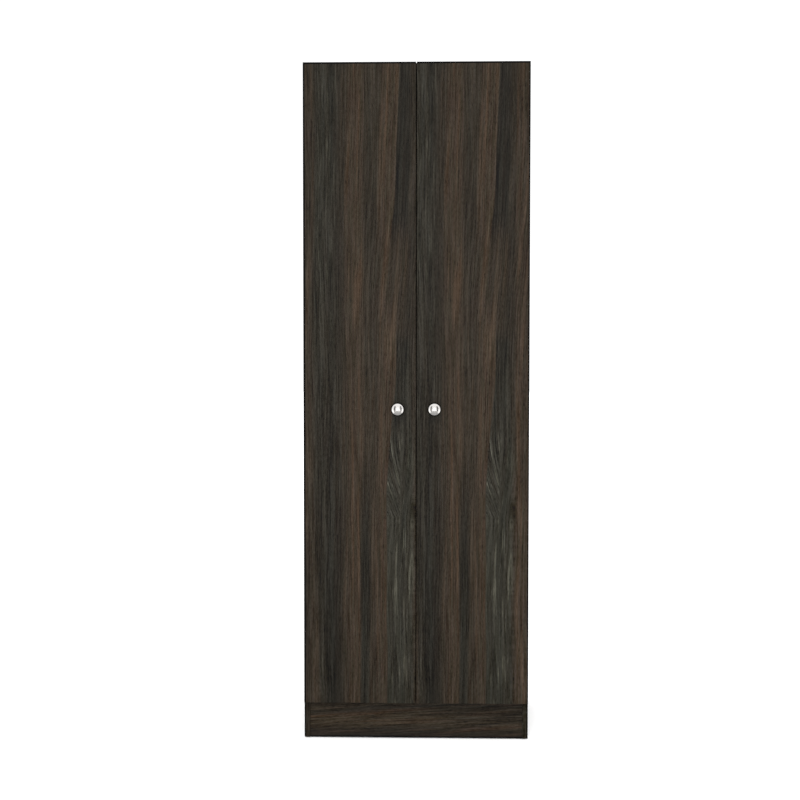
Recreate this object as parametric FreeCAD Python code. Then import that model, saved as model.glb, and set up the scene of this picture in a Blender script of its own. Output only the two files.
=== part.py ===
import FreeCAD, Part
import math
import os

V = FreeCAD.Vector

# ---------------------------------------------------------------- dimensions
# Millimetres. +X is to the right of a person facing the doors, +Y goes to the
# back, +Z is up. The origin is on the floor, under the middle of the cabinet.
WIDTH = 600.0            # over the side panels
HEIGHT = 1800.0          # floor to the top of the carcass
BOARD = 15.0             # carcass boards
DOOR_T = 15.0            # door boards
DOOR_GAP = 3.0           # between the door backs and the carcass front edges
KNOB_OUT = 27.0          # knob projection from the door front
CARCASS_D = 377.0        # side panels, front to back
BACK_T = 3.0             # hardboard back
GLIDE_H = 3.0            # floor glide under the side panels
EDGE_R = 0.6             # eased edges of the carcass boards
DOOR_EDGE_R = 1.0        # eased edges of the doors

DEPTH = KNOB_OUT + DOOR_T + DOOR_GAP + CARCASS_D + BACK_T
Y_FRONT = -DEPTH / 2 + KNOB_OUT + DOOR_T + DOOR_GAP   # carcass front edges
Y_BACK = Y_FRONT + CARCASS_D                          # carcass back edges
Y_REAR = Y_BACK + BACK_T                              # rear face of the back
X_IN = WIDTH / 2 - BOARD                              # inner faces of the sides

KICK_TOP = 100.0
KICK_SETBACK = 2.0
BOTTOM_Z = KICK_TOP                                   # underside of the bottom
SHELF_Z = [437.0, 774.0, 1111.0, 1448.0]              # undersides of the shelves
FIXED = 1                                             # which shelf is fixed
SHELF_SETBACK = 20.0
SHELF_END_GAP = 2.0
TOP_Z = HEIGHT - BOARD

# adjustable shelf pins
PIN_R = 2.5
PIN_DEPTH = 9.0
PIN_OUT = 10.0
PIN_PITCH = 32.0
PIN_Y = [Y_FRONT + 57.5, Y_BACK - 49.5]

# cam joints
CAM_IN = 24.0            # cam centre from the end of the board
CAM_R = 7.4
CAM_HOLE_R = 7.5
CAM_LEN = 11.8
CAM_Y = [Y_FRONT + 40.0, Y_BACK - 37.5]
DOWEL_R = 4.0
DOWEL_L = 30.0
DOWEL_Y = [Y_FRONT + 84.0, Y_BACK - 90.0]
FIT = 0.05               # radial clearance of the small hardware in its holes

# doors
DOOR_SIDE = 1.0          # door edge in from the outer face of the side
DOOR_MID = 1.0           # half of the gap between the doors
DOOR_Z0 = 101.0
DOOR_Z1 = 1799.5
KNOB_X = 48.5            # from the middle of the cabinet
KNOB_Z = 888.0
KNOB_R = 18.2            # over the rim
KNOB_RIM = 6.4           # round of the rim
KNOB_RIM_T = 15.8        # widest place of the rim, from the door front
KNOB_STEM_R = 7.2
KNOB_FOOT_R = 9.4

# concealed cup hinges: plan position is measured from the outer face of the
# side panel (x) and from the carcass front edge (y, negative to the front)
HINGE_Z = [210.0, 640.0, 1270.0, 1690.0]
AX, AY = 8.2, -12.0      # hinge pin
PIVOT_R = 1.25
CUP_X = 21.5
CUP_R = 17.45
CUP_BORE_R = 17.5
CUP_DEEP = 12.15
CUP_BORE_DEEP = 12.2
POCKET = (5.6, 26.1)     # pocket of the cup, across the door
POCKET_HALF = 4.5
POCKET_FLOOR = -14.5
FLANGE_T = 1.2
CUP_SCREW_X = 27.5
CUP_SCREW_Z = 24.0
ARM_HALF = 4.0           # half height of the goose-neck
ARM_BODY_HALF = 7.2      # half height of the channel
PLATE_SCREW_Z = 16.0
PLATE_Y = 37.0

# wall fixing
BRACKET_X = 200.0
BRACKET_W = 20.0
BRACKET_T = 2.0
BRACKET_LEG = 30.0
WALL_HOLE_Z = 1765.0
WALL_HOLE_R = 2.75


# ------------------------------------------------------------------- helpers
def box(x0, x1, y0, y1, z0, z1):
    x0, x1 = min(x0, x1), max(x0, x1)
    y0, y1 = min(y0, y1), max(y0, y1)
    z0, z1 = min(z0, z1), max(z0, z1)
    return Part.makeBox(x1 - x0, y1 - y0, z1 - z0, V(x0, y0, z0))


def rod(r, a, b):
    """Round bar of radius r from point a to point b."""
    a, b = V(*a), V(*b)
    d = b.sub(a)
    return Part.makeCylinder(r, d.Length, a, d)


def cone(r0, r1, a, b):
    a, b = V(*a), V(*b)
    d = b.sub(a)
    return Part.makeCone(r0, r1, d.Length, a, d)


def fuse(shapes):
    out = shapes[0].multiFuse(shapes[1:]) if len(shapes) > 1 else shapes[0]
    return out.removeSplitter()


def cut(shape, tools):
    return shape.cut(Part.makeCompound(tools)) if tools else shape


def solid(shape):
    if shape.ShapeType == "Solid":
        return shape
    assert len(shape.Solids) == 1, "expected one solid, got %d" % len(shape.Solids)
    return shape.Solids[0]


def outline(points, place):
    """Face from (a, b, radius) corners. place maps (a, b) to a point."""
    n = len(points)
    edges, ends = [], []
    for i in range(n):
        a, b, r = points[i]
        p = V(*place(a, b))
        q = V(*place(*points[i - 1][:2]))
        s = V(*place(*points[(i + 1) % n][:2]))
        if r <= 0:
            ends.append((p, None, p))
            continue
        u, w = q.sub(p), s.sub(p)
        u.normalize()
        w.normalize()
        half = math.acos(max(-1.0, min(1.0, u.dot(w)))) / 2
        t = r / math.tan(half)
        bis = u.add(w)
        bis.normalize()
        c = p.add(bis.multiply(r / math.sin(half)))
        p0, p1 = p.add(V(u).multiply(t)), p.add(V(w).multiply(t))
        m = p.sub(c)
        m.normalize()
        ends.append((p0, c.add(m.multiply(r)), p1))
    for i in range(n):
        p0, m, p1 = ends[i]
        if m is not None:
            edges.append(Part.Arc(p0, m, p1).toShape())
        nxt = ends[(i + 1) % n][0]
        if p1.distanceToPoint(nxt) > 1e-7:
            edges.append(Part.LineSegment(p1, nxt).toShape())
    return Part.Face(Part.Wire(edges))


def board(x0, x1, y0, y1, z0, z1, r=EDGE_R):
    b = box(x0, x1, y0, y1, z0, z1)
    return b.makeFillet(r, b.Edges)


NODES = {}


def keep(name, shape):
    solids = shape.Solids
    for s in solids:
        assert s.isValid() and s.Volume > 0, name
    NODES[name] = solids[0] if len(solids) == 1 else Part.makeCompound(solids)


def keep_group(name, shapes):
    keep(name, Part.makeCompound([solid(s) for s in shapes]))


SIDES = {"left": 1, "right": -1}


def X(side, x):
    """x of a point at distance x in from the outer face of that side panel."""
    return (x - WIDTH / 2) * side


def Y(y):
    return Y_FRONT + y


# --------------------------------------------------- joints between the boards
cams, bolts, dowels = [], [], []
holes = {}                       # board name -> list of drilled holes


def drill(name, *tools):
    holes.setdefault(name, []).extend(tools)


def cam_joint(name, side, y, z, face):
    """Cam lock, cam bolt: the board's end meets a side panel at (y, z).

    face is the direction from the board's middle plane to the face that the
    cam is let into.
    """
    s = SIDES[side]
    f = V(*face)
    xe, xc = X(s, BOARD), X(s, BOARD + CAM_IN)
    mid = V(xc, y, z)
    top = mid.add(V(f).multiply(BOARD / 2))
    deep = top.sub(V(f).multiply(CAM_LEN))
    cam = rod(CAM_R, tuple(top), tuple(deep))
    slot = rod(3.7, (X(s, BOARD + CAM_IN + 3.8), y, z), (X(s, BOARD + 10), y, z))
    if abs(f.z) > 0.5:
        cross = [box(xc - 4, xc + 4, y - 0.7, y + 0.7, top.z, top.z - 2.2 * f.z),
                 box(xc - 0.7, xc + 0.7, y - 4, y + 4, top.z, top.z - 2.2 * f.z)]
    else:
        cross = [box(xc - 4, xc + 4, top.y, top.y - 2.2 * f.y, z - 0.7, z + 0.7),
                 box(xc - 0.7, xc + 0.7, top.y, top.y - 2.2 * f.y, z - 4, z + 4)]
    cams.append(cut(cam, [slot] + cross))
    drill(name, rod(CAM_HOLE_R, tuple(top.add(V(f).multiply(1))),
                    tuple(top.sub(V(f).multiply(CAM_LEN + 0.1)))),
          rod(4.0, (X(s, BOARD - 1), y, z), (X(s, BOARD + CAM_IN - 6), y, z)))
    ball = Part.makeSphere(3.3, V(xc, y, z))
    bolts.append(fuse([rod(2.5, (X(s, BOARD - 11), y, z), (xe, y, z)),
                       rod(3.6, (xe, y, z), (X(s, BOARD + 1.5), y, z)),
                       rod(1.9, (X(s, BOARD + 1), y, z), (xc, y, z)), ball]))
    drill(side + "_side_panel",
          rod(2.5 + FIT, (X(s, BOARD - 11.2), y, z), (X(s, BOARD + 1), y, z)))


def dowel_joint(name, side, y, z):
    s = SIDES[side]
    a, b = (X(s, BOARD - 10), y, z), (X(s, BOARD + 20), y, z)
    d = rod(DOWEL_R, a, b)
    ends = [e for e in d.Edges if e.Curve.TypeId == "Part::GeomCircle"]
    dowels.append(d.makeChamfer(0.8, ends))
    drill(side + "_side_panel",
          rod(DOWEL_R + FIT, (X(s, BOARD - 10.3), y, z), (X(s, BOARD + 1), y, z)))
    drill(name, rod(DOWEL_R + FIT, (X(s, BOARD - 1), y, z), (X(s, BOARD + 20.3), y, z)))


for name, z in (("top_panel", TOP_Z), ("bottom_panel", BOTTOM_Z),
                ("fixed_shelf", SHELF_Z[FIXED])):
    for side in SIDES:
        for y in CAM_Y:
            cam_joint(name, side, y, z + BOARD / 2, (0, 0, -1))
        for y in DOWEL_Y:
            dowel_joint(name, side, y, z + BOARD / 2)

KICK_Y0 = Y_FRONT + KICK_SETBACK
KICK_YC = KICK_Y0 + BOARD / 2
for side in SIDES:
    cam_joint("kick_board", side, KICK_YC, 62.0, (0, 1, 0))
    dowel_joint("kick_board", side, KICK_YC, 28.0)
for x in (-140.0, 140.0):
    d = rod(DOWEL_R, (x, KICK_YC, KICK_TOP - 20), (x, KICK_YC, KICK_TOP + 10))
    ends = [e for e in d.Edges if e.Curve.TypeId == "Part::GeomCircle"]
    dowels.append(d.makeChamfer(0.8, ends))
    drill("kick_board", rod(DOWEL_R + FIT, (x, KICK_YC, KICK_TOP - 20.3), (x, KICK_YC, KICK_TOP + 1)))
    drill("bottom_panel", rod(DOWEL_R + FIT, (x, KICK_YC, KICK_TOP - 1), (x, KICK_YC, KICK_TOP + 10.3)))

# ----------------------------------------------------------- adjustable shelves
pins = []
SHELF_NAMES = ["adjustable_shelf_lower", None, "adjustable_shelf_middle",
               "adjustable_shelf_upper"]
for k, z in enumerate(SHELF_Z):
    if k == FIXED:
        continue
    for side, s in SIDES.items():
        for y in PIN_Y:
            zc = z - 2.0                       # pins have a flat on top
            body = fuse([rod(PIN_R, (X(s, BOARD - PIN_DEPTH), y, zc), (X(s, BOARD + PIN_OUT), y, zc)),
                         rod(4.0, (X(s, BOARD), y, zc), (X(s, BOARD + 1.5), y, zc))])
            flat = box(X(s, BOARD + 1.5), X(s, BOARD + PIN_OUT + 1), y - 4, y + 4, z, z + 3)
            pins.append(cut(body, [flat]))
            for step in (-1, 0, 1):
                zz = zc + step * PIN_PITCH
                drill(side + "_side_panel",
                      rod(PIN_R + FIT, (X(s, BOARD - PIN_DEPTH - 1), y, zz), (X(s, BOARD + 1), y, zz)))

# -------------------------------------------------------------- back and nails
JOIN_Z = SHELF_Z[FIXED] + BOARD / 2
BACK = {"back_panel_lower": (KICK_TOP + 3, JOIN_Z - 0.5),
        "back_panel_upper": (JOIN_Z + 0.5, HEIGHT - 3)}
nails = []


def nail(sheet, into, x, z):
    tip = Y_REAR - 20.0
    nails.append(fuse([rod(1.7, (x, Y_REAR, z), (x, Y_REAR - 0.8, z)),
                       rod(0.7, (x, Y_REAR - 0.5, z), (x, tip + 2, z)),
                       cone(0.7, 0.1, (x, tip + 2, z), (x, tip, z))]))
    drill(sheet, rod(1.7 + 0.02, (x, Y_REAR + 1, z), (x, Y_REAR - 0.82, z)),
          rod(0.7 + 0.02, (x, Y_REAR, z), (x, Y_BACK - 1, z)))
    drill(into, rod(0.7 + 0.02, (x, Y_BACK + 1, z), (x, tip - 0.2, z)))


for side, s in SIDES.items():
    for z in (150.0, 300.0, 450.0, 600.0, 745.0):
        nail("back_panel_lower", side + "_side_panel", X(s, 7.5), z)
    for z in (820.0, 980.0, 1140.0, 1300.0, 1460.0, 1620.0, 1765.0):
        nail("back_panel_upper", side + "_side_panel", X(s, 7.5), z)
for x in (-215.0, -72.0, 72.0, 215.0):
    nail("back_panel_lower", "bottom_panel", x, BOTTOM_Z + BOARD / 2)
    nail("back_panel_lower", "fixed_shelf", x, JOIN_Z - 4.0)
    nail("back_panel_upper", "fixed_shelf", x, JOIN_Z + 4.0)
    nail("back_panel_upper", "top_panel", x, TOP_Z + BOARD / 2)

# ---------------------------------------------------------------- wall brackets
brackets, bracket_screws = [], []
for x in (-BRACKET_X, BRACKET_X):
    prof = outline([(Y_BACK - BRACKET_LEG, TOP_Z, 0), (Y_BACK, TOP_Z, 0.4),
                    (Y_BACK, TOP_Z - 35, 0), (Y_BACK - BRACKET_T, TOP_Z - 35, 0),
                    (Y_BACK - BRACKET_T, TOP_Z - BRACKET_T, 1.0),
                    (Y_BACK - BRACKET_LEG, TOP_Z - BRACKET_T, 0)],
                   lambda a, b: (x - BRACKET_W / 2, a, b))
    b = prof.extrude(V(BRACKET_W, 0, 0))
    ys = Y_BACK - BRACKET_LEG + 9.0
    tools = [rod(WALL_HOLE_R, (x, Y_BACK + 1, WALL_HOLE_Z), (x, Y_BACK - 4, WALL_HOLE_Z))]
    for dx in (-5.0, 5.0):
        tools.append(rod(2.0, (x + dx, ys, TOP_Z + 1), (x + dx, ys, TOP_Z - 4)))
        bracket_screws.append(fuse([
            rod(1.75, (x + dx, ys, TOP_Z - BRACKET_T), (x + dx, ys, TOP_Z + 8)),
            cone(1.75, 0.3, (x + dx, ys, TOP_Z + 8), (x + dx, ys, TOP_Z + 11)),
            cone(3.3, 2.4, (x + dx, ys, TOP_Z - BRACKET_T), (x + dx, ys, TOP_Z - BRACKET_T - 1.8))]))
        drill("top_panel", rod(1.75 + FIT, (x + dx, ys, TOP_Z - 1), (x + dx, ys, TOP_Z + 11.2)))
    brackets.append(cut(b, tools))
    drill("back_panel_upper",
          rod(WALL_HOLE_R, (x, Y_BACK - 1, WALL_HOLE_Z), (x, Y_REAR + 1, WALL_HOLE_Z)))

# ----------------------------------------------------------------- floor glides
glides = []
for side, s in SIDES.items():
    for y in (Y_FRONT + 18.0, Y_BACK - 20.0):
        x = X(s, BOARD / 2)
        glides.append(fuse([cone(6.2, 7.0, (x, y, 0), (x, y, 0.8)),
                            rod(7.0, (x, y, 0.8), (x, y, GLIDE_H)),
                            rod(1.0, (x, y, GLIDE_H - 1), (x, y, 14)),
                            cone(1.0, 0.15, (x, y, 14), (x, y, 17))]))
        drill(side + "_side_panel", rod(1.0 + FIT, (x, y, GLIDE_H - 1), (x, y, 17.3)))


# ----------------------------------------------------------------------- hinges
def hinge(side, z):
    s = SIDES[side]
    d = side + "_door_panel"
    px, py = X(s, AX), Y(AY)

    def plan(a, b):
        return (X(s, a), Y(b), z)

    # goose-neck arm: boss round the pin, foot inside the cup, neck, channel
    foot = outline([(AX, AY - 2.2, 0), (24.2, AY - 2.2, 1.6), (24.2, 2.0, 1.0), (22.7, 7.0, 1.0),
                    (22.7, 16.0, 0), (20.7, 16.0, 0), (20.7, AY + 0.2, 1.2), (AX, AY + 0.2, 0)],
                   lambda a, b: (X(s, a), Y(b), z - ARM_HALF)).extrude(V(0, 0, 2 * ARM_HALF))
    boss = rod(2.2, (px, py, z - ARM_HALF), (px, py, z + ARM_HALF))
    web = outline([(2.0, -ARM_HALF, 0), (12.0, -ARM_BODY_HALF, 2.0), (62.0, -ARM_BODY_HALF, 3.0),
                   (62.0, ARM_BODY_HALF, 3.0), (12.0, ARM_BODY_HALF, 2.0), (2.0, ARM_HALF, 0)],
                  lambda a, b: (X(s, 20.7), Y(a), z + b)).extrude(V(2.0 * s, 0, 0))
    walls = []
    for k in (-1, 1):
        walls.append(outline([(17.4, 17.0, 1.5), (21.0, 13.0, 0), (21.0, 58.5, 0), (17.4, 55.0, 1.5)],
                             lambda a, b: (X(s, a), Y(b), z + k * 5.8)).extrude(V(0, 0, k * 1.4)))
    arm = fuse([foot, boss, web] + walls)
    arm = cut(arm, [rod(PIVOT_R + FIT, (px, py, z - 6), (px, py, z + 6)),
                    rod(2.1, plan(17.0, 48.0), plan(24.0, 48.0)),
                    rod(2.05, plan(20.0, 26.0), plan(24.0, 26.0))])

    # mounting plate on the side panel, with the rib that carries the arm
    flat = outline([(PLATE_Y - 15, -8, 2), (PLATE_Y + 23, -8, 2), (PLATE_Y + 23, 8, 2), (PLATE_Y - 15, 8, 2)],
                   lambda a, b: (X(s, BOARD), Y(a), z + b)).extrude(V(2.0 * s, 0, 0))
    wing = outline([(PLATE_Y - 6.5, -23, 5), (PLATE_Y + 6.5, -23, 5), (PLATE_Y + 6.5, 23, 5), (PLATE_Y - 6.5, 23, 5)],
                   lambda a, b: (X(s, BOARD), Y(a), z + b)).extrude(V(2.0 * s, 0, 0))
    rib = box(X(s, BOARD + 1), X(s, 20.6), Y(PLATE_Y - 14), Y(PLATE_Y + 20), z - 5.5, z + 5.5)
    plate = fuse([flat, wing, rib])
    tools = [rod(2.0 + FIT, plan(15.8, 48.0), plan(21.0, 48.0))]
    for k in (-1, 1):
        zz = z + k * PLATE_SCREW_Z
        tools.append(rod(2.0, (X(s, 14), Y(PLATE_Y), zz), (X(s, 18), Y(PLATE_Y), zz)))
    plate = cut(plate, tools)
    plate_screws = []
    for k in (-1, 1):
        zz = z + k * PLATE_SCREW_Z
        yy = Y(PLATE_Y)
        head = cone(3.6, 2.6, (X(s, 17.0), yy, zz), (X(s, 19.0), yy, zz))
        cross = [box(X(s, 18.0), X(s, 19.5), yy - 1.8, yy + 1.8, zz - 0.4, zz + 0.4),
                 box(X(s, 18.0), X(s, 19.5), yy - 0.4, yy + 0.4, zz - 1.8, zz + 1.8)]
        plate_screws.append(cut(fuse([head, rod(1.75, (X(s, 17.0), yy, zz), (X(s, 6.5), yy, zz)),
                                      cone(1.75, 0.3, (X(s, 6.5), yy, zz), (X(s, 3.5), yy, zz))]), cross))
        drill(side + "_side_panel",
              rod(1.75 + FIT, (X(s, 16), yy, zz), (X(s, 3.3), yy, zz)))

    # fixing screw and adjusting screw of the arm
    fix_head = cone(3.7, 3.0, plan(22.7, 48.0), plan(25.0, 48.0))
    fix = cut(fuse([fix_head, rod(2.0, plan(22.7, 48.0), plan(16.2, 48.0))]),
              [box(X(s, 24.0), X(s, 26.0), Y(48 - 2.2), Y(48 + 2.2), z - 0.45, z + 0.45),
               box(X(s, 24.0), X(s, 26.0), Y(48 - 0.45), Y(48 + 0.45), z - 2.2, z + 2.2)])
    adj = cut(rod(2.0, plan(20.65, 26.0), plan(23.4, 26.0)),
              [box(X(s, 22.6), X(s, 24.0), Y(26 - 2.5), Y(26 + 2.5), z - 0.4, z + 0.4)])

    # cup let into the door, with its flange on the door back
    cup = rod(CUP_R, plan(CUP_X, -DOOR_GAP), plan(CUP_X, -DOOR_GAP - CUP_DEEP))
    ring = rod(19.0, plan(CUP_X, -DOOR_GAP), plan(CUP_X, -DOOR_GAP + FLANGE_T))
    ring = cut(ring, [box(X(s, -5), X(s, 4.5), Y(-5), Y(0), z - 30, z + 30)])
    ears = outline([(21.0, -30, 5), (34.0, -30, 5), (34.0, 30, 5), (21.0, 30, 5)],
                   lambda a, b: (X(s, a), Y(-DOOR_GAP), z + b)).extrude(V(0, FLANGE_T, 0))
    cup = fuse([cup, ring, ears])
    tools = [box(X(s, POCKET[0]), X(s, POCKET[1]), Y(POCKET_FLOOR), Y(1), z - POCKET_HALF, z + POCKET_HALF),
             box(X(s, 0), X(s, POCKET[1]), Y(-DOOR_GAP), Y(1), z - POCKET_HALF, z + POCKET_HALF),
             box(X(s, 28.1), X(s, 35.0), Y(-10.5), Y(1), z - 7.0, z + 7.0),
             rod(PIVOT_R + 0.02, (px, py, z - 9.1), (px, py, z + 9.1))]
    for k in (-1, 1):
        zz = z + k * CUP_SCREW_Z
        tools.append(rod(2.0, (X(s, CUP_SCREW_X), Y(-4), zz), (X(s, CUP_SCREW_X), Y(0), zz)))
    cup = cut(cup, tools)
    cup_screws = []
    for k in (-1, 1):
        zz = z + k * CUP_SCREW_Z
        xx = X(s, CUP_SCREW_X)
        y0 = -DOOR_GAP + FLANGE_T
        head = cone(3.5, 2.6, (xx, Y(y0), zz), (xx, Y(y0 + 1.6), zz))
        cross = [box(xx - 1.8, xx + 1.8, Y(y0 + 0.7), Y(y0 + 2), zz - 0.4, zz + 0.4),
                 box(xx - 0.4, xx + 0.4, Y(y0 + 0.7), Y(y0 + 2), zz - 1.8, zz + 1.8)]
        cup_screws.append(cut(fuse([head, rod(1.75, (xx, Y(y0), zz), (xx, Y(-11.0), zz)),
                                    cone(1.75, 0.3, (xx, Y(-11.0), zz), (xx, Y(-14.0), zz))]), cross))
        drill(d, rod(1.75 + FIT, (xx, Y(-2), zz), (xx, Y(-14.2), zz)))
    drill(d, rod(CUP_BORE_R, plan(CUP_X, -DOOR_GAP + 1), plan(CUP_X, -DOOR_GAP - CUP_BORE_DEEP)))
    pin = rod(PIVOT_R, (px, py, z - 9.0), (px, py, z + 9.0))
    return dict(arms=[arm], plates=[plate], plate_screws=plate_screws, arm_screws=[fix, adj],
                cups=[cup], cup_screws=cup_screws, pins=[pin])


for side in SIDES:
    groups = {}
    for z in HINGE_Z:
        for k, shapes in hinge(side, z).items():
            groups.setdefault(k, []).extend(shapes)
    for k, shapes in groups.items():
        keep_group("%s_hinge_%s" % (side, k.rstrip("s") + "s"), shapes)


# ------------------------------------------------------------------------ doors
def knob_profile(x, z):
    """Half section of the turned knob, distance t from the door front.

    A shallow ball-shaped face runs into a round rim, and the back of the rim
    sweeps in to the stem and its foot.
    """
    yf = Y_FRONT - DOOR_GAP - DOOR_T
    rc, tc = KNOB_R - KNOB_RIM, KNOB_RIM_T       # middle of the rim's round
    h = KNOB_OUT - tc
    face_r = (rc ** 2 + h ** 2 - KNOB_RIM ** 2) / (2 * (h - KNOB_RIM))
    mid = KNOB_OUT - face_r
    tilt = math.atan2(rc, tc - mid)              # where the face meets the rim
    turn = math.radians(170.0)                   # where the rim meets the sweep

    def p(r, t):
        return V(x + r, yf - t, z)

    def on_face(a):
        return p(face_r * math.sin(a), mid + face_r * math.cos(a))

    def on_rim(a):
        return p(rc + KNOB_RIM * math.sin(a), tc + KNOB_RIM * math.cos(a))

    r1, t1 = rc + KNOB_RIM * math.sin(turn), tc + KNOB_RIM * math.cos(turn)
    bend = (r1 - KNOB_STEM_R) / (1 + math.cos(turn + math.pi / 2))
    cr, ct = KNOB_STEM_R + bend, t1 - bend * math.sin(turn - math.pi / 2)

    def on_sweep(a):
        return p(cr - bend * math.cos(a), ct + bend * math.sin(a))

    top = turn - math.pi / 2
    e = [Part.LineSegment(p(0, 0), p(KNOB_FOOT_R, 0)).toShape(),
         Part.LineSegment(p(KNOB_FOOT_R, 0), p(KNOB_FOOT_R, 0.8)).toShape(),
         Part.LineSegment(p(KNOB_FOOT_R, 0.8), on_sweep(0)).toShape(),
         Part.Arc(on_sweep(0), on_sweep(top / 2), on_rim(turn)).toShape(),
         Part.Arc(on_rim(turn), on_rim((turn + tilt) / 2), on_rim(tilt)).toShape(),
         Part.Arc(on_rim(tilt), on_face(tilt / 2), p(0, KNOB_OUT)).toShape(),
         Part.LineSegment(p(0, KNOB_OUT), p(0, 0)).toShape()]
    face = Part.Face(Part.Wire(e))
    return face.revolve(V(x, 0, z), V(0, 1, 0), 360), yf


for side, s in SIDES.items():
    name = side + "_door_panel"
    xk = -KNOB_X * s
    knob, yf = knob_profile(xk, KNOB_Z)
    knob = cut(knob, [rod(2.0 + FIT, (xk, yf + 1, KNOB_Z), (xk, yf - 10.0, KNOB_Z))])
    keep(side + "_knob", knob)
    yb = Y_FRONT - DOOR_GAP
    screw = fuse([rod(2.0, (xk, yb, KNOB_Z), (xk, yf - 9.0, KNOB_Z)),
                  cone(4.0, 3.2, (xk, yb, KNOB_Z), (xk, yb + 2.2, KNOB_Z))])
    screw = cut(screw, [box(xk - 2.2, xk + 2.2, yb + 1.1, yb + 3, KNOB_Z - 0.5, KNOB_Z + 0.5),
                        box(xk - 0.5, xk + 0.5, yb + 1.1, yb + 3, KNOB_Z - 2.2, KNOB_Z + 2.2)])
    keep(side + "_knob_screw", screw)
    drill(name, rod(2.25, (xk, yb + 1, KNOB_Z), (xk, yf - 1, KNOB_Z)))
    bumpers = []
    for z in (DOOR_Z0 + 7.0, DOOR_Z1 - 6.0):
        xb = -13.0 * s
        b = rod(4.0, (xb, yb, z), (xb, yb + 2.7, z))
        top = [e for e in b.Edges if e.Curve.TypeId == "Part::GeomCircle" and e.Curve.Center.y > yb + 1]
        bumpers.append(b.makeFillet(1.0, top))
    keep_group(side + "_door_bumpers", bumpers)
    x0, x1 = X(s, DOOR_SIDE), X(s, WIDTH / 2 - DOOR_MID)
    keep(name, cut(board(x0, x1, yf, yb, DOOR_Z0, DOOR_Z1, DOOR_EDGE_R), holes[name]))

# ---------------------------------------------------------------------- carcass
for side, s in SIDES.items():
    name = side + "_side_panel"
    keep(name, cut(board(X(s, 0), X(s, BOARD), Y_FRONT, Y_BACK, GLIDE_H, HEIGHT), holes[name]))
for name, z in (("top_panel", TOP_Z), ("bottom_panel", BOTTOM_Z), ("fixed_shelf", SHELF_Z[FIXED])):
    y0 = Y_FRONT + (SHELF_SETBACK if name == "fixed_shelf" else 0.0)
    keep(name, cut(board(-X_IN, X_IN, y0, Y_BACK, z, z + BOARD), holes[name]))
keep("kick_board", cut(board(-X_IN, X_IN, KICK_Y0, KICK_Y0 + BOARD, GLIDE_H, KICK_TOP), holes["kick_board"]))
for k, name in enumerate(SHELF_NAMES):
    if name:
        w = X_IN - SHELF_END_GAP
        keep(name, board(-w, w, Y_FRONT + SHELF_SETBACK, Y_BACK - 1.0, SHELF_Z[k], SHELF_Z[k] + BOARD))
for name, (z0, z1) in BACK.items():
    keep(name, cut(box(-WIDTH / 2 + 3, WIDTH / 2 - 3, Y_BACK, Y_REAR, z0, z1), holes[name]))
keep_group("back_panel_nails", nails)
keep_group("cam_locks", cams)
keep_group("cam_bolts", bolts)
keep_group("wooden_dowels", dowels)
keep_group("shelf_pins", pins)
keep_group("floor_glides", glides)
keep_group("anti_tip_brackets", brackets)
keep_group("anti_tip_screws", bracket_screws)

# ----------------------------------------------------------------------- output
os.makedirs("parts", exist_ok=True)
for name, shape in sorted(NODES.items()):
    shape.exportStep("parts/%s.step" % name)
    b = shape.BoundBox
    print("%-26s %3d solids  x %8.2f %8.2f  y %8.2f %8.2f  z %8.2f %8.2f"
          % (name, len(shape.Solids), b.XMin, b.XMax, b.YMin, b.YMax, b.ZMin, b.ZMax))
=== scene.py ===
import math
import bpy
from mathutils import Matrix, Vector

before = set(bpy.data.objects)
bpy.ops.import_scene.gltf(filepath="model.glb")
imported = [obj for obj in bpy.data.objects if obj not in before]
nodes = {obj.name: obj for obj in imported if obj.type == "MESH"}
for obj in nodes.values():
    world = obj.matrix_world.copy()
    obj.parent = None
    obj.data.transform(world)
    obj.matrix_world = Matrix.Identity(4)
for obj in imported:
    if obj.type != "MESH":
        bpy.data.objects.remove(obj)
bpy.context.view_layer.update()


# ------------------------------------------------------------------ node helper
def lin(r, g, b):
    """sRGB 0-255 to linear."""
    def f(c):
        c /= 255.0
        return c / 12.92 if c <= 0.04045 else ((c + 0.055) / 1.055) ** 2.4
    return (f(r), f(g), f(b), 1.0)


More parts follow.
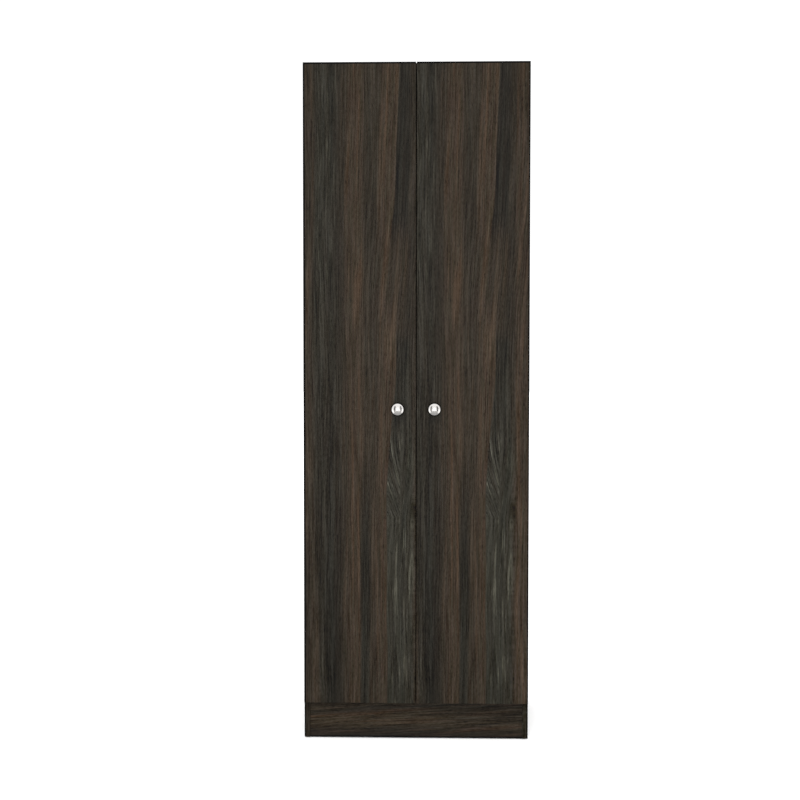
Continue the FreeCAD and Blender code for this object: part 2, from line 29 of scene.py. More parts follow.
class Net:
    """Small helper that adds nodes to a tree and links them."""

    def __init__(self, tree):
        self.t = tree

    def new(self, kind, **props):
        n = self.t.nodes.new(kind)
        for k, v in props.items():
            setattr(n, k, v)
        return n

    def put(self, socket, value):
        if value is None:
            return
        if isinstance(value, bpy.types.NodeSocket):
            self.t.links.new(value, socket)
        else:
            socket.default_value = value

    def math(self, op, a, b=None, c=None, clamp=False):
        n = self.new("ShaderNodeMath", operation=op, use_clamp=clamp)
        for s, v in zip(n.inputs, (a, b, c)):
            self.put(s, v)
        return n.outputs[0]

    def add(self, a, b):
        return self.math("ADD", a, b)

    def sub(self, a, b):
        return self.math("SUBTRACT", a, b)

    def mul(self, a, b):
        return self.math("MULTIPLY", a, b)

    def mad(self, a, b, c):
        return self.math("MULTIPLY_ADD", a, b, c)

    def vec(self, x=0.0, y=0.0, z=0.0):
        n = self.new("ShaderNodeCombineXYZ")
        for s, v in zip(n.inputs, (x, y, z)):
            self.put(s, v)
        return n.outputs[0]

    def step(self, v, lo, hi, to0=0.0, to1=1.0):
        """Smooth step of v from lo to hi (lo may be above hi)."""
        n = self.new("ShaderNodeMapRange", interpolation_type="SMOOTHSTEP", clamp=True)
        if lo > hi:
            lo, hi, to0, to1 = hi, lo, to1, to0
        self.put(n.inputs["Value"], v)
        n.inputs["From Min"].default_value = lo
        n.inputs["From Max"].default_value = hi
        n.inputs["To Min"].default_value = to0
        n.inputs["To Max"].default_value = to1
        return n.outputs["Result"]

    def span(self, v, lo, hi, to0=0.0, to1=1.0):
        n = self.new("ShaderNodeMapRange", interpolation_type="LINEAR", clamp=True)
        self.put(n.inputs["Value"], v)
        n.inputs["From Min"].default_value = lo
        n.inputs["From Max"].default_value = hi
        n.inputs["To Min"].default_value = to0
        n.inputs["To Max"].default_value = to1
        return n.outputs["Result"]

    def noise(self, vector, scale=1.0, detail=3.0, rough=0.55, distortion=0.0):
        n = self.new("ShaderNodeTexNoise", noise_dimensions="3D")
        self.put(n.inputs["Vector"], vector)
        n.inputs["Scale"].default_value = scale
        n.inputs["Detail"].default_value = detail
        n.inputs["Roughness"].default_value = rough
        n.inputs["Distortion"].default_value = distortion
        return n.outputs["Fac"]

    def voronoi(self, vector, scale=1.0, feature="F1"):
        n = self.new("ShaderNodeTexVoronoi", feature=feature)
        self.put(n.inputs["Vector"], vector)
        n.inputs["Scale"].default_value = scale
        return n.outputs["Distance"]

    def curve(self, v, points, lo, hi):
        """Piecewise curve through (position, value) points, over lo..hi."""
        x = self.span(v, lo, hi)
        n = self.new("ShaderNodeFloatCurve")
        c = n.mapping.curves[0]
        while len(c.points) < len(points):
            c.points.new(0.5, 0.5)
        for p, (px, py) in zip(c.points, sorted(points)):
            p.location = ((px - lo) / (hi - lo), py)
            p.handle_type = "AUTO"
        n.mapping.update()
        self.put(n.inputs["Value"], x)
        return n.outputs[0]

    def mix(self, fac, a, b, blend="MIX"):
        n = self.new("ShaderNodeMix", data_type="RGBA", blend_type=blend, clamp_factor=True)
        self.put(n.inputs[0], fac)
        self.put(n.inputs[6], a)
        self.put(n.inputs[7], b)
        return n.outputs[2]

    def scale_colour(self, colour, factor):
        n = self.new("ShaderNodeVectorMath", operation="SCALE")
        self.put(n.inputs[0], colour)
        self.put(n.inputs["Scale"], factor)
        return n.outputs[0]

    def bump(self, height, strength, distance, normal=None):
        n = self.new("ShaderNodeBump")
        n.inputs["Strength"].default_value = strength
        n.inputs["Distance"].default_value = distance
        self.put(n.inputs["Height"], height)
        if normal is not None:
            self.put(n.inputs["Normal"], normal)
        return n.outputs[0]


def material(name):
    m = bpy.data.materials.new(name)
    m.use_nodes = True
    m.node_tree.nodes.clear()
    k = Net(m.node_tree)
    out = k.new("ShaderNodeOutputMaterial")
    bsdf = k.new("ShaderNodeBsdfPrincipled")
    m.node_tree.links.new(bsdf.outputs[0], out.inputs[0])
    return m, k, bsdf


def coords(k):
    tc = k.new("ShaderNodeTexCoord")
    sep = k.new("ShaderNodeSeparateXYZ")
    k.t.links.new(tc.outputs["Object"], sep.inputs[0])
    mm = [k.mul(sep.outputs[i], 1000.0) for i in range(3)]
    nsep = k.new("ShaderNodeSeparateXYZ")
    k.t.links.new(tc.outputs["Normal"], nsep.inputs[0])
    return dict(X=mm[0], Y=mm[1], Z=mm[2]), dict(X=nsep.outputs[0], Y=nsep.outputs[1], Z=nsep.outputs[2]), tc.outputs["Object"]


# -------------------------------------------------------- dark wood-print boards
LIGHT_ON_FRONT = 1.74           # light on an upright board, where 1 is the white ground
GLOSS = 0.0115                  # what the thin gloss of the print adds


def paint(r, g, b):
    """Print colour that looks like sRGB (r, g, b) on an upright board in this light."""
    return tuple(max(0.0012, (c - GLOSS) / LIGHT_ON_FRONT) for c in lin(r, g, b)[:3]) + (1.0,)


CHARCOAL = paint(45, 43, 37.5)
CHARCOAL_COOL = paint(54.5, 54.5, 48.5)
BLACKISH = paint(32, 30, 26)
UMBER = paint(52, 44, 37)
BROWN = paint(71, 59, 49.5)
BROWN_OLIVE = paint(66.5, 58.5, 47)
BROWN_WARM = paint(81, 64.5, 51)
ASH = paint(98, 96, 84)

# bands of the door print, as (place across the door, warmth), place 0 is the
# outer edge of the left door and 1 its inner edge
DOOR_W = 298.0
PRINT_SPAN = 1.16
DOOR_BANDS = [(0.000, 0.58), (0.060, 0.54), (0.110, 0.16), (0.240, 0.10), (0.300, 0.30), (0.350, 0.40),
              (0.415, 0.80), (0.510, 0.86), (0.550, 0.46), (0.585, 0.40), (0.650, 0.53), (0.718, 0.88),
              (0.935, 0.36), (0.990, 0.40), (1.035, 0.84), (1.085, 0.80), (1.160, 0.56)]
# the dark figure beside the last brown band is two tongues, the upper one runs out over the lower one;
# their outer edges, as (height in mm, place across)
TONGUE_HIGH = [(100, 0.660), (1060, 0.660), (1140, 0.696), (1230, 0.735), (1300, 0.757), (1434, 0.808), (1560, 0.830), (1800, 0.832)]
TONGUE_LOW = [(100, 0.742), (560, 0.742), (720, 0.738), (860, 0.770), (960, 0.812), (1040, 0.826), (1110, 0.828), (1180, 0.850), (1800, 0.860)]
# lean of the fine grain, as (height in mm, share of the full shift)
GRAIN_LEAN = [(100, 1.0), (700, 0.95), (1000, 0.86), (1120, 0.76), (1300, 0.40), (1450, 0.14), (1600, 0.03), (1800, 0.0)]


def laminate(name, along, across, thick, origin, layout, seed, edge_band_and_shade=None, slope=0.0, tone=1.0, front=None):
    """Wood-print laminate.

    along, across, thick: axes of the grain, of the width and of the thickness.
    origin: value of the across coordinate (mm) where the print starts.
    layout: "door" for the drawn bands, "plain" or "kick" for bands from noise.
    edge_band_and_shade: (axis, limit, side, width) of the board's edges in mm along which the face gets a dark line.
    The line is partly the dark edge band and partly painted shade for the shadow line round a door and the contact
    shadow at the floor.
    front: (side, tone) of a side panel's front edge: side of the cabinet (-1 or 1), and how far the edge is lighter or
    darker than the print. Its outer arris and its foot get painted shade, near-black.
    """
    m, k, bsdf = material(name)
    p, nrm, _ = coords(k)
    w = p[along]
    a = k.sub(k.mad(p[thick], 0.45, p[across]), origin)
    if slope:
        a = k.mad(w, slope, a)
    # slow wander of the grain, then a finer one
    n1 = k.noise(k.vec(k.mul(a, 1 / 85.0), k.mul(w, 1 / 560.0), seed), detail=1.5, rough=0.5)
    n2 = k.noise(k.vec(k.mul(a, 1 / 24.0), k.mul(w, 1 / 130.0), seed + 7.3), detail=2.5, rough=0.55)
    aw = k.add(a, k.add(k.mul(k.sub(n1, 0.5), 26.0), k.mul(k.sub(n2, 0.5), 4.8)))
    base = aw
    if layout == "door":
        f = k.mul(aw, 1.0 / DOOR_W)
        past = k.sub(f, k.curve(w, TONGUE_HIGH, 100.0, 1800.0))
        upper = k.step(past, -0.004, 0.010)
        light_line = k.mul(k.mul(k.step(past, -0.045, -0.022), k.math("SUBTRACT", 1.0, upper)),
                           k.mul(k.step(w, 1100.0, 1160.0), k.step(w, 1560.0, 1440.0)))
        lower = k.step(k.sub(f, k.curve(w, TONGUE_LOW, 100.0, 1800.0)), -0.004, 0.010)
        upper = k.mul(upper, k.step(w, 1075.0, 1225.0))
        lower = k.mul(lower, k.step(w, 1150.0, 1060.0))
        low = k.step(w, 900.0, 680.0)
        flame = k.mul(k.math("MAXIMUM", upper, lower), k.step(k.mad(low, -0.035, f), 0.975, 0.93))
        # low in the flame the figure is a row of nested Vs: its outer half leans more and more on the way down,
        # its inner half stands almost straight
        down = k.mul(k.math("SUBTRACT", 820.0, k.math("MINIMUM", k.math("MAXIMUM", w, 600.0), 820.0)), 1.0 / 220.0)
        lean = k.mul(k.math("POWER", down, 1.6), -60.0)
        base = k.add(aw, k.mul(k.mul(lean, k.step(f, 0.853, 0.863, 1.0, -0.25)), flame))
        vee = k.mul(k.mul(flame, k.step(f, 0.885, 0.850, 0.3, 1.0)), k.mul(k.step(w, 850.0, 770.0), k.step(w, 545.0, 610.0)))
        base = k.add(base, k.mul(k.mul(k.curve(w, GRAIN_LEAN, 100.0, 1800.0), 46.0), k.step(f, 0.25, 0.80)))

    def fibre(width, length, s, detail=3.0, rough=0.55):
        return k.noise(k.vec(k.mul(base, 1.0 / width), k.mul(w, 1.0 / length), seed + s), detail=detail, rough=rough)

    s_band = fibre(17.0, 900.0, 1.1, 1.2)
    s_mid = fibre(6.0, 230.0, 2.7, 4.0, 0.62)
    s_fine = fibre(1.60, 92.0, 4.1, 4.0, 0.74)
    s_line = fibre(2.7, 120.0, 14.3, 0.0)
    s_grain = fibre(2.1, 9.0, 6.5, 2.0, 0.6)
    s_hue = fibre(5.0, 110.0, 12.9, 2.0, 0.6)
    s_tint = fibre(12.0, 330.0, 5.9, 1.2)
    s_pore = fibre(1.7, 16.0, 8.3, 2.0, 0.5)
    s_ash = fibre(6.4, 120.0, 9.7, 3.0, 0.6)

    if layout == "door":
        # the outer dark band narrows from its outer side towards the bottom
        drift = k.mul(k.mul(k.step(w, 680.0, 250.0), 0.050), k.step(f, 0.33, 0.20))
        ramp = k.new("ShaderNodeValToRGB")
        ramp.color_ramp.interpolation = "EASE"
        els = ramp.color_ramp.elements
        while len(els) < len(DOOR_BANDS):
            els.new(0.5)
        for e, (pos, t) in zip(els, DOOR_BANDS):
            e.position = pos / PRINT_SPAN
            e.color = (t, t, t, 1)
        # the second dark band is wide and faint at the top, narrow and strong at the bottom, where it moves out
        foot = k.step(w, 820.0, 480.0)
        back = k.mul(k.mul(foot, 0.028), k.mul(k.step(f, 0.43, 0.49), k.step(f, 0.70, 0.63)))
        k.put(ramp.inputs[0], k.mul(k.add(k.sub(f, drift), back), 1.0 / PRINT_SPAN))
        warm = ramp.outputs[0]
        high = k.step(w, 1050.0, 1350.0)
        faint = k.mul(k.mul(high, k.mul(k.step(f, 0.55, 0.60), k.step(f, 0.72, 0.66))), 0.10)
        narrow = k.mul(k.mul(foot, k.mul(k.step(f, 0.475, 0.505), k.step(f, 0.605, 0.56))), 0.36)
        warm = k.sub(warm, k.add(faint, narrow))
        heart = k.mul(k.step(w, 1050.0, 1110.0), k.step(w, 1410.0, 1310.0))
        warm_flame = k.mad(heart, 0.34, k.mad(high, 0.12, 0.08))
        mixw = k.new("ShaderNodeMix", data_type="FLOAT")
        k.put(mixw.inputs[0], flame)
        k.put(mixw.inputs[2], warm)
        k.put(mixw.inputs[3], warm_flame)
        warm = mixw.outputs[0]
        # ash streaks: strong low in the flame, weak in the outer dark band
        dark_band = k.mul(k.step(f, 0.09, 0.14), k.step(f, 0.33, 0.26))
        ash_zone = k.add(k.mul(k.mul(flame, low), 1.0), k.mul(dark_band, k.mad(high, 0.35, 0.30)))
        ash_zone = k.mad(vee, 0.7, ash_zone)
        cool = k.math("ADD", k.mul(k.mul(flame, low), 0.35), k.mul(dark_band, k.mad(high, 0.34, -0.10)))
        shade = k.mul(k.step(w, 250.0, 1000.0, 0.985, 1.0), k.mad(k.mul(flame, k.step(w, 1270.0, 1420.0)), -0.30, 1.0))
        shade = k.mul(shade, k.mul(k.step(w, 1250.0, 1550.0, 1.0, 0.965), k.step(w, 850.0, 1000.0, 1.0, 0.958)))
        shade = k.mul(shade, k.mad(k.mul(flame, low), 0.17, 1.0))
        # the brown beside the flame is the lightest
        beside = k.mul(k.step(f, 0.715, 0.78), k.math("SUBTRACT", 1.0, flame))
        shade = k.mul(shade, k.mad(k.mul(beside, k.step(f, 0.92, 0.86)), k.step(w, 900.0, 1300.0, 0.0, 0.13), 1.0))
        # and lightest of all along the upper tongue and in the fork between the two
        shade = k.mul(shade, k.mad(light_line, 0.13, 1.0))
        fork = k.mul(k.mul(k.step(w, 950.0, 1010.0), k.step(w, 1135.0, 1075.0)), k.mul(k.step(f, 0.69, 0.73), k.step(f, 0.85, 0.81)))
        shade = k.mul(shade, k.mad(k.mul(fork, k.math("SUBTRACT", 1.0, flame)), 0.16, 1.0))
        inner = k.mul(k.step(f, 0.16, 0.24), k.step(f, 0.36, 0.31))
        shade = k.mul(shade, k.mad(k.mul(inner, k.step(w, 760.0, 300.0)), -0.22, 1.0))
        # the inner side of the dark band is deeper, and the inner edge of the door lighter at the foot
        deep = k.math("MINIMUM", k.step(w, 1250.0, 1050.0, -0.15, -0.07), k.step(w, 650.0, 450.0, -0.07, -0.14))
        shade = k.mul(shade, k.mad(k.mul(k.step(f, 0.20, 0.25), k.step(f, 0.39, 0.34)), deep, 1.0))
        shade = k.mul(shade, k.mad(k.mul(k.step(f, 0.90, 0.95), k.step(f, 1.06, 1.0)), k.step(w, 1300.0, 600.0, -0.12, 0.12), 1.0))
        # both ends of the print are a little deeper in the upper part
        shade = k.mul(shade, k.mad(k.mul(k.step(f, 0.085, 0.055), k.step(w, 1200.0, 1320.0)), -0.13, 1.0))
        shade = k.mul(shade, k.mad(k.step(f, 1.030, 1.055), k.step(w, 560.0, 760.0, 0.10, -0.10), 1.0))
        # a dark strip low on the outer edge
        shade = k.mul(shade, k.mad(k.mul(k.step(f, 0.055, 0.03), k.step(w, 620.0, 380.0)), -0.30, 1.0))
    else:
        bands = fibre(34.0, 2600.0, 11.0, 3.0, 0.6) if layout == "plain" else fibre(21.0, 620.0, 11.0, 3.0, 0.6)
        warm = k.step(bands, 0.34, 0.60)
        ash_zone = k.mul(k.step(warm, 0.35, 0.1), 0.3)
        cool = 0.0
        shade = 1.0
        if layout == "kick":
            # painted shade: the kick board is darker near the floor and in a band below the doors' overhang. A painted
            # lighter strip at its very top softens the doors' cast shadow
            shade = k.mul(k.step(p["Z"], 8.0, 50.0, 0.43, 1.17), k.mad(warm, 0.32, 0.86))
            shade = k.mul(shade, k.mul(k.step(p["Z"], 60.0, 71.0, 1.0, 0.84), k.step(p["Z"], 78.0, 90.0, 1.0, 1.10)))
            warm = k.mad(warm, 0.56, 0.46)

    warm = k.add(warm, k.add(k.mul(k.sub(s_band, 0.5), 0.40), k.mul(k.sub(s_mid, 0.5), 0.15)))
    warm = k.math("ADD", warm, k.mul(k.sub(s_fine, 0.5), 0.10), clamp=True)

    dark = k.mix(k.math("ADD", k.step(s_tint, 0.42, 0.68), cool, clamp=True), CHARCOAL, CHARCOAL_COOL)
    dark = k.mix(k.mul(k.step(s_mid, 0.46, 0.30), 0.22), dark, BLACKISH)
    olive = k.step(s_hue, 0.28, 0.48) if layout == "kick" else k.step(s_hue, 0.42, 0.58)
    brown = k.mix(olive, BROWN, BROWN_OLIVE)
    brown = k.mix(k.step(s_tint, 0.48, 0.70), brown, BROWN_WARM)
    brown = k.mix(k.mul(k.step(s_mid, 0.50, 0.32), 0.28), brown, UMBER)
    colour = k.mix(warm, dark, brown)
    ash = k.mul(k.step(s_ash, 0.53, 0.72), ash_zone)
    colour = k.mix(k.mul(ash, 0.52), colour, ASH)
    pore = k.step(s_pore, 0.56, 0.68)
    # the streaks lighten and darken the print: part scales the colour, part is a neutral tone on top
    streak = k.add(k.mul(k.sub(s_fine, 0.5), 2.70), k.mul(k.sub(s_mid, 0.5), 0.10))
    streak = k.add(streak, k.add(k.mul(k.sub(s_line, 0.5), 1.25), k.mul(k.sub(s_grain, 0.5), 1.35)))
    if layout == "kick":
        streak = k.mul(streak, 1.5)
    if layout == "door":
        streak = k.mul(streak, k.mad(vee, 0.50, k.mad(k.mul(flame, low), -0.26, 1.0)))
    value = k.mul(k.mad(streak, 0.45, 1.05), shade)
    value = k.mul(value, k.mad(pore, -0.42, 1.0))
    value = k.math("MAXIMUM", k.mul(value, tone), 0.12)
    lift = k.mul(k.mul(streak, 0.0125 * tone), shade)
    matt = None
    if edge_band_and_shade:
        # painted shade: a fine dark line along the face's outer edges and on the eased arris. It is partly the edge
        # band and partly stands in for the shadow line round a door and the contact shadow at the floor. The line is
        # matt
        dmin = None
        for axis, limit, side, width in edge_band_and_shade:
            d = k.mad(p[axis], -side, side * limit - width)
            dmin = d if dmin is None else k.math("MINIMUM", dmin, d)
        face = k.math("ABSOLUTE", nrm[thick])
        arris = k.mul(k.step(face, 0.9, 0.6), k.step(face, 0.08, 0.25, 0.55, 1.0))
        line = k.math("MAXIMUM", k.mul(k.step(dmin, 0.35, -0.35), k.step(face, 0.5, 0.9)), arris)
        keep = k.mad(line, -0.96, 1.0)
        value = k.mul(value, keep)
        lift = k.mul(lift, keep)
        matt = line
    if front is not None:
        # painted shade: the front edge is made near-black along its outer arris and at the floor, standing in for the
        # dark outline round the cabinet and the contact shadow at the floor
        on_front = k.step(k.mul(nrm["Y"], -1.0), 0.3, 0.7)
        far_in = k.math("MINIMUM", k.mad(p["X"], -front[0], 300.0), p["Z"])
        keep = k.mad(on_front, k.step(far_in, 2.6, 4.2, -0.92, front[1]), 1.0)
        value = k.mul(value, keep)
        lift = k.mul(lift, keep)
        matt = on_front
        colour = k.mix(k.mul(on_front, 0.65), colour, CHARCOAL)
    colour = k.scale_colour(colour, value)
    total = k.new("ShaderNodeVectorMath", operation="ADD")
    k.put(total.inputs[0], colour)
    k.put(total.inputs[1], k.vec(lift, lift, lift))
    floor_of = k.new("ShaderNodeVectorMath", operation="MAXIMUM")
    k.put(floor_of.inputs[0], total.outputs[0])
    floor_of.inputs[1].default_value = (0.0012, 0.0011, 0.0010)
    colour = floor_of.outputs[0]
    k.put(bsdf.inputs["Base Color"], colour)
    rough = k.add(k.mad(s_fine, 0.16, 0.42), k.mul(pore, 0.10))
    if matt is not None:
        rough = k.math("MAXIMUM", rough, k.mul(matt, 0.95))
    k.put(bsdf.inputs["Roughness"], rough)
    bsdf.inputs["Specular IOR Level"].default_value = 0.13
    height = k.sub(k.mad(s_fine, 0.6, k.mul(s_mid, 0.4)), k.mul(pore, 0.5))
    k.put(bsdf.inputs["Normal"], k.bump(height, 0.20, 0.00025))
    return m


def metal(name, colour, rough, spread, grain=(60.0, 60.0, 60.0), seed=0.0, bump=0.03, painted_rim_reflection=None):
    """Plated metal: fine directional marks, soft blotches in the plating.

    painted_rim_reflection: (x, z, radius, left) of a painted dark line round the face of a turned knob that faces -Y,
    standing in for the reflection of the dark door in the knob's rim:
    its middle, the radius where it starts and how much of the colour is left on it.
    """
    m, k, bsdf = material(name)
    p, nrm, obj = coords(k)
    v = k.vec(k.mul(p["X"], grain[0] / 100.0), k.mul(p["Y"], grain[1] / 100.0), k.mad(p["Z"], grain[2] / 100.0, seed))
    fine = k.noise(v, scale=6.0, detail=3.0, rough=0.6)
    soft = k.noise(v, scale=0.12, detail=3.0, rough=0.5)
    shade = k.add(k.mul(k.sub(soft, 0.5), 0.22), k.mad(k.sub(fine, 0.5), 0.10, 1.0))
    if painted_rim_reflection is not None:
        x, z, radius, left = painted_rim_reflection
        dx = k.sub(k.math("ABSOLUTE", p["X"]), x)
        dz = k.sub(p["Z"], z)
        away = k.math("SQRT", k.add(k.mul(dx, dx), k.mul(dz, dz)))
        # painted reflection: darken a thin ring round the knob's face, for the dark door the rim would reflect
        line = k.mul(k.step(away, radius - 0.35, radius + 0.35), k.step(nrm["Y"], 0.10, -0.05))
        shade = k.mul(shade, k.mad(line, left - 1.0, 1.0))
    k.put(bsdf.inputs["Base Color"], k.scale_colour(k.mix(soft, colour, tuple(c * 0.93 for c in colour[:3]) + (1.0,)), shade))
    bsdf.inputs["Metallic"].default_value = 1.0
    k.put(bsdf.inputs["Roughness"], k.add(rough, k.add(k.mul(k.sub(fine, 0.5), spread), k.mul(k.sub(soft, 0.5), spread))))
    k.put(bsdf.inputs["Normal"], k.bump(fine, bump, 0.00005))
    return m


def plastic(name, colour, rough, seed=0.0, translucent=0.0):
    m, k, bsdf = material(name)
    p, nrm, obj = coords(k)
    v = k.vec(p["X"], p["Y"], k.add(p["Z"], seed))
    fine = k.noise(v, scale=3.0, detail=3.0, rough=0.6)
    soft = k.noise(v, scale=0.15, detail=2.0, rough=0.5)
    k.put(bsdf.inputs["Base Color"], k.scale_colour(k.mix(soft, colour, tuple(min(1.0, c * 1.15) for c in colour[:3]) + (1.0,)),
                                                    k.mad(k.sub(fine, 0.5), 0.16, 1.0)))
    k.put(bsdf.inputs["Roughness"], k.mad(k.sub(fine, 0.5), 0.18, rough))
    if translucent:
        bsdf.inputs["Transmission Weight"].default_value = translucent
    k.put(bsdf.inputs["Normal"], k.bump(fine, 0.08, 0.00008))
    return m


def hardboard(name, seed):
    """Pressed fibre sheet: matted fibres, dark flecks, fine screen marks."""
    m, k, bsdf = material(name)
    p, nrm, obj = coords(k)
    v = k.vec(p["X"], p["Y"], k.add(p["Z"], seed))
    fibre1 = k.noise(k.vec(k.mul(p["X"], 0.55), p["Y"], k.mul(p["Z"], 1.7)), scale=0.8, detail=4.0, rough=0.65, distortion=1.6)
    fibre2 = k.noise(k.vec(k.mul(p["X"], 1.6), p["Y"], k.mul(p["Z"], 0.6)), scale=0.9, detail=4.0, rough=0.65, distortion=1.4)
    blotch = k.noise(v, scale=0.012, detail=3.0, rough=0.55)
    fleck = k.step(k.noise(v, scale=0.55, detail=2.0, rough=0.5), 0.62, 0.70)
    base = k.mix(k.step(k.add(fibre1, fibre2), 0.82, 1.2), lin(104, 74, 50), lin(142, 106, 74))
    base = k.mix(k.mul(fleck, 0.55), base, lin(72, 50, 34))
    k.put(bsdf.inputs["Base Color"], k.scale_colour(base, k.mad(k.sub(blotch, 0.5), 0.5, 1.0)))
    k.put(bsdf.inputs["Roughness"], k.mad(fibre1, 0.2, 0.6))
    bsdf.inputs["Specular IOR Level"].default_value = 0.3
    gx = k.math("SINE", k.mul(p["X"], 2 * math.pi / 1.6))
    gz = k.math("SINE", k.mul(p["Z"], 2 * math.pi / 1.6))
    height = k.add(k.mul(k.mul(gx, gz), 0.25), k.mul(k.add(fibre1, fibre2), 0.5))
    k.put(bsdf.inputs["Normal"], k.bump(height, 0.25, 0.0002))
    return m


def bare_wood(name, light, dark, seed):
    m, k, bsdf = material(name)
    p, nrm, obj = coords(k)
    v = k.vec(k.mul(p["X"], 0.09), p["Y"], k.add(p["Z"], seed))
    g = k.noise(v, scale=1.2, detail=4.0, rough=0.6, distortion=0.4)
    pore = k.step(k.noise(k.vec(k.mul(p["X"], 0.3), k.mul(p["Y"], 2.0), k.mul(p["Z"], 2.0)), scale=1.0, detail=2.0), 0.60, 0.68)
    k.put(bsdf.inputs["Base Color"], k.mix(k.mul(pore, 0.5), k.mix(k.step(g, 0.35, 0.65), light, dark), lin(120, 84, 52)))
    k.put(bsdf.inputs["Roughness"], k.mad(g, 0.2, 0.5))
    k.put(bsdf.inputs["Normal"], k.bump(g, 0.15, 0.0002))
    return m


def dress(node, mat):
    o = nodes[node]
    o.data.materials.clear()
    o.data.materials.append(mat)


# ----------------------------------------------------------------- doors, boards
# the dark lines along the doors' outer and top edges are partly painted shade
dress("left_door_panel", laminate("laminate_left_door", "Z", "X", "Y", -299.0 - 83.0, "door", 3.0,
                                  edge_band_and_shade=(("X", -299.0, -1, 4.9), ("Z", 1799.5, 1, 4.8))))
dress("right_door_panel", laminate("laminate_right_door", "Z", "X", "Y", 1.0 - 37.0 - 83.0, "door", 3.0,
                                   edge_band_and_shade=(("X", 299.0, 1, 3.8), ("Z", 1799.5, 1, 4.8))))
dress("left_side_panel", laminate("laminate_left_side", "Z", "Y", "X", -167.5, "plain", 21.0, front=(-1, -0.22)))
dress("right_side_panel", laminate("laminate_right_side", "Z", "Y", "X", -167.5, "plain", 33.0, front=(1, 0.30)))
dress("top_panel", laminate("laminate_top", "X", "Y", "Z", -167.5, "plain", 41.0))
dress("bottom_panel", laminate("laminate_bottom", "X", "Y", "Z", -167.5, "plain", 47.0))
# the kick board's dark line at the floor is painted contact shadow
dress("kick_board", laminate("laminate_kick", "X", "Z", "Y", 0.0, "kick", 52.0, slope=-0.07, tone=0.70,
                              edge_band_and_shade=(("Z", 3.0, -1, 3.2),)))
for i, n in enumerate(("fixed_shelf", "adjustable_shelf_lower", "adjustable_shelf_middle", "adjustable_shelf_upper")):
    dress(n, laminate("laminate_shelf_%d" % (i + 1), "X", "Y", "Z", -167.5, "plain", 61.0 + 5.5 * i))

back = hardboard("hardboard_back", 3.0)
dress("back_panel_lower", back)
dress("back_panel_upper", back)

# ---------------------------------------------------------------------- hardware
# the dark ring round the knobs' faces is a painted reflection of the dark door
knob_metal = metal("satin_nickel_knob", (0.80, 0.775, 0.745, 1.0), 0.20, 0.05, (30, 30, 30), 2.0, 0.012,
                   painted_rim_reflection=(48.5, 888.0, 15.2, 0.05))
hinge_metal = metal("nickel_plate_hinge", (0.64, 0.63, 0.61, 1.0), 0.30, 0.14, (50, 14, 50), 5.0)
zinc = metal("zinc_plate", (0.60, 0.61, 0.63, 1.0), 0.38, 0.18, (40, 40, 40), 9.0)
bright = metal("bright_steel", (0.68, 0.68, 0.68, 1.0), 0.26, 0.12, (60, 60, 60), 12.0)
cast = metal("die_cast", (0.50, 0.50, 0.50, 1.0), 0.48, 0.2, (80, 80, 80), 15.0, 0.12)
for s in ("left", "right"):
    dress(s + "_knob", knob_metal)
    for n in ("hinge_arms", "hinge_plates", "hinge_cups"):
        dress("%s_%s" % (s, n), hinge_metal)
    for n in ("hinge_plate_screws", "hinge_arm_screws", "hinge_cup_screws", "hinge_pins", "knob_screw"):
        dress("%s_%s" % (s, n), bright)
    dress(s + "_door_bumpers", plastic("soft_bumper_" + s, (0.62, 0.62, 0.60, 1.0), 0.35, 4.0, 0.5))
dress("back_panel_nails", bright)
dress("anti_tip_screws", bright)
dress("anti_tip_brackets", zinc)
dress("shelf_pins", zinc)
dress("cam_bolts", zinc)
dress("cam_locks", cast)
dress("wooden_dowels", bare_wood("beech_dowel", lin(205, 165, 118), lin(178, 134, 88), 2.0))
dress("floor_glides", plastic("dark_glide", (0.022, 0.020, 0.018, 1.0), 0.5, 7.0))

# ----------------------------------------------------------- floor, light, camera
scene = bpy.context.scene
scene.view_settings.view_transform = "Standard"
scene.view_settings.look = "None"
scene.view_settings.exposure = 0.0
scene.view_settings.gamma = 1.0

mesh = bpy.data.meshes.new("floor")
R, N = 30.0, 96
mesh.from_pydata([(R * math.cos(2 * math.pi * i / N), R * math.sin(2 * math.pi * i / N), 0.0) for i in range(N)], [], [list(range(N))])
floor = bpy.data.objects.new("floor", mesh)
scene.collection.objects.link(floor)
fm, fkn, fb = material("floor_paper")
fp, fnrm, fobj = coords(fkn)
fn = fkn.noise(fobj, scale=3.0, detail=3.0)
fkn.put(fb.inputs["Base Color"], fkn.mix(fn, (0.96, 0.96, 0.96, 1), (0.975, 0.975, 0.972, 1)))
fb.inputs["Roughness"].default_value = 0.9
fb.inputs["Specular IOR Level"].default_value = 0.1
mesh.materials.append(fm)

world = bpy.data.worlds.new("studio")
world.use_nodes = True
world.node_tree.nodes["Background"].inputs[0].default_value = (1.0, 1.0, 1.0, 1.0)
world.node_tree.nodes["Background"].inputs[1].default_value = 1.12
scene.world = world


def area(name, place, target, size, power):
    l = bpy.data.lights.new(name, "AREA")
    l.shape = "RECTANGLE"
    l.size, l.size_y = size
    l.energy = power
    o = bpy.data.objects.new(name, l)
    scene.collection.objects.link(o)
    o.location = place
    o.rotation_euler = (Vector(target) - Vector(place)).to_track_quat("-Z", "Y").to_euler()
    return o


key = bpy.data.lights.new("key_soft", "SUN")
key.energy = 2.0
key.angle = math.radians(25.0)
key_obj = bpy.data.objects.new("key_soft", key)
scene.collection.objects.link(key_obj)
key_obj.rotation_euler = Vector((0.02, 0.85, -1.0)).to_track_quat("-Z", "Y").to_euler()
key_obj.visible_glossy = False
area("front_soft", (0.0, -4.6, 1.3), (0.0, 0.0, 1.3), (1.2, 2.0), 18.6)


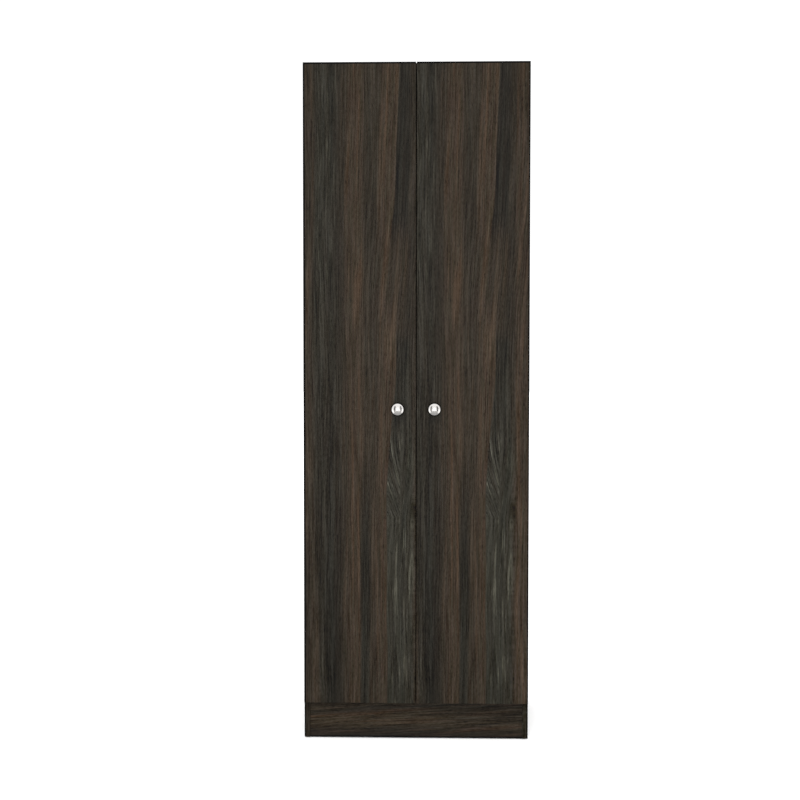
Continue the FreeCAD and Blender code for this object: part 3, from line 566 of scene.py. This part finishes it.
def card(name, middle, half_w, half_h, facing, low, high):
    """Plain studio card that only shows in reflections, grey from low to high along its own Y."""
    me = bpy.data.meshes.new(name)
    me.from_pydata([(-half_w, -half_h, 0), (half_w, -half_h, 0), (half_w, half_h, 0), (-half_w, half_h, 0)], [], [(0, 1, 2, 3)])
    o = bpy.data.objects.new(name, me)
    scene.collection.objects.link(o)
    o.location = middle
    if facing is not None:
        o.rotation_euler = (Vector(facing) - Vector(middle)).to_track_quat("Z", "Y").to_euler()
    mt = bpy.data.materials.new(name)
    mt.use_nodes = True
    mt.node_tree.nodes.clear()
    ck = Net(mt.node_tree)
    out = ck.new("ShaderNodeOutputMaterial")
    em = ck.new("ShaderNodeEmission")
    cp, cn, cobj = coords(ck)
    ck.put(em.inputs["Strength"], ck.span(cp["Y"], -1000.0 * half_h, 1000.0 * half_h, low, high))
    ck.t.links.new(em.outputs[0], out.inputs[0])
    me.materials.append(mt)
    o.visible_camera = o.visible_diffuse = o.visible_shadow = o.visible_transmission = False


for side in (-1, 1):
    az = math.radians(43.0)
    card("card_%s" % ("left" if side < 0 else "right"), (1.2 * math.sin(az) * side, -0.2 - 1.2 * math.cos(az), 1.06),
         0.22, 0.84, (0.0, -0.2, 1.06), 0.07, 0.07)
card("card_low", (0.0, -1.80, 0.012), 1.00, 1.60, None, 0.90, 0.40)

# camera: place and turn fitted to the cabinet's corners
cam_data = bpy.data.cameras.new("camera")
cam_data.sensor_fit = "HORIZONTAL"
cam_data.sensor_width = 36.0
cam_data.lens = 54.713
cam_data.clip_end = 200.0
cam = bpy.data.objects.new("camera", cam_data)
scene.collection.objects.link(cam)
yaw, pitch, roll = math.radians(-1.5133), math.radians(-2.1790), math.radians(0.025)
fwd = Vector((math.sin(yaw) * math.cos(pitch), math.cos(yaw) * math.cos(pitch), math.sin(pitch)))
right = Vector((math.cos(yaw), -math.sin(yaw), 0.0))
up = right.cross(fwd)
r2 = right * math.cos(roll) + up * math.sin(roll)
u2 = up * math.cos(roll) - right * math.sin(roll)
cam.matrix_world = Matrix(((r2.x, u2.x, -fwd.x, 0.04225), (r2.y, u2.y, -fwd.y, -3.4015),
                           (r2.z, u2.z, -fwd.z, 1.03463), (0, 0, 0, 1)))
scene.camera = cam
